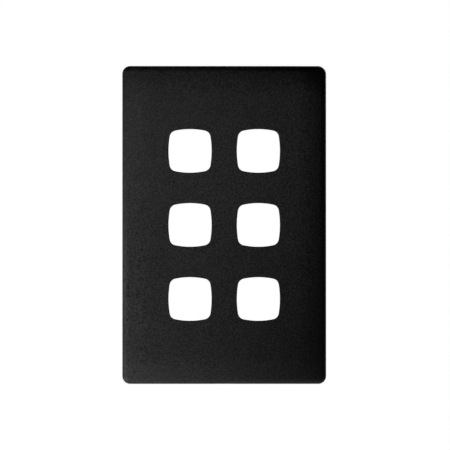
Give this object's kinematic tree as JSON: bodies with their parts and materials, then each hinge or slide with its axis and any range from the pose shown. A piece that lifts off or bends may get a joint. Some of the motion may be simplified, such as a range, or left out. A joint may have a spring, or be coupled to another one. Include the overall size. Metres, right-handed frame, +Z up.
{
  "type": "switch cover plate",
  "caption": "Upright rectangular cover plate with fallen shoulders, rolled edges and barrel-shaped openings for switch rockers, clipped over a switch grid on a wall.",
  "frame": {"origin": "centre of the back rim, on the wall plane", "axes": "+X to the right seen from the front, +Y into the wall, +Z up the plate"},
  "size_m": [0.075, 0.0095, 0.117],
  "materials": {
    "black_plastic": "fine matte moulded texture"
  },
  "bodies": {
    "root": {"cover_plate": "black_plastic"}
  },
  "joints": []
}
